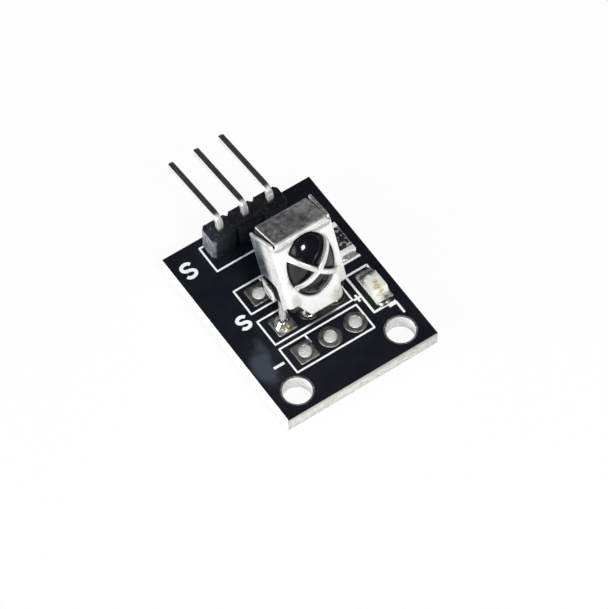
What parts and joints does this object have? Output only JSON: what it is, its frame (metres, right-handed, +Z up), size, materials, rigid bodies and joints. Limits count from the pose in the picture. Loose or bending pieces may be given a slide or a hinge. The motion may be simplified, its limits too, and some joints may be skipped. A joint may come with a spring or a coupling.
{
  "type": "infrared receiver module",
  "caption": "Small circuit board with a shielded infrared receiver leaning back on its leads, a bent pin header and chip parts.",
  "frame": {"origin": "middle of the board's underside", "axes": "+Y runs along the board to the pin header, +Z up out of the board's component side, +X to the right seen from the receiver's window"},
  "size_m": [0.015, 0.025, 0.013],
  "materials": {
    "board_black": "glass-epoxy board under black solder resist, with white printed lines",
    "pad_tin": "dull tinned copper",
    "header_black": "black moulded nylon",
    "pin_metal": "plated brass, darkened",
    "solder": "bright solder",
    "lead_metal": "tinned steel",
    "receiver_black": "black infrared-passing epoxy",
    "shield_tinplate": "bright tinplate",
    "end_metal": "plated metal ends",
    "led_base_white": "pale glass-epoxy base",
    "led_die": "die with its gold bond",
    "led_clear": "clear epoxy",
    "resistor_dark": "dark glaze over ceramic"
  },
  "bodies": {
    "root": {"circuit_board": "board_black", "front_eyelet_1": "pad_tin", "front_eyelet_2": "pad_tin", "front_eyelet_3": "pad_tin", "receiver_eyelet_1": "pad_tin", "receiver_eyelet_2": "pad_tin", "receiver_eyelet_3": "pad_tin", "spare_eyelet_1": "pad_tin", "spare_eyelet_2": "pad_tin", "spare_eyelet_3": "pad_tin", "header_eyelet_1": "pad_tin", "header_eyelet_2": "pad_tin", "header_eyelet_3": "pad_tin", "header_housing": "header_black", "header_pin_1": "pin_metal", "header_solder_1": "solder", "receiver_solder_1": "solder", "receiver_lead_1": "lead_metal", "header_pin_2": "pin_metal", "header_solder_2": "solder", "receiver_solder_2": "solder", "receiver_lead_2": "lead_metal", "header_pin_3": "pin_metal", "header_solder_3": "solder", "receiver_solder_3": "solder", "receiver_lead_3": "lead_metal", "receiver_body": "receiver_black", "shield_can": "shield_tinplate", "led_terminal_1": "end_metal", "led_solder_1": "solder", "resistor_cap_1": "end_metal", "resistor_solder_1": "solder", "led_terminal_2": "end_metal", "led_solder_2": "solder", "resistor_cap_2": "end_metal", "resistor_solder_2": "solder", "led_base": "led_base_white", "led_chip": "led_die", "led_lens": "led_clear", "resistor_body": "resistor_dark"}
  },
  "joints": []
}
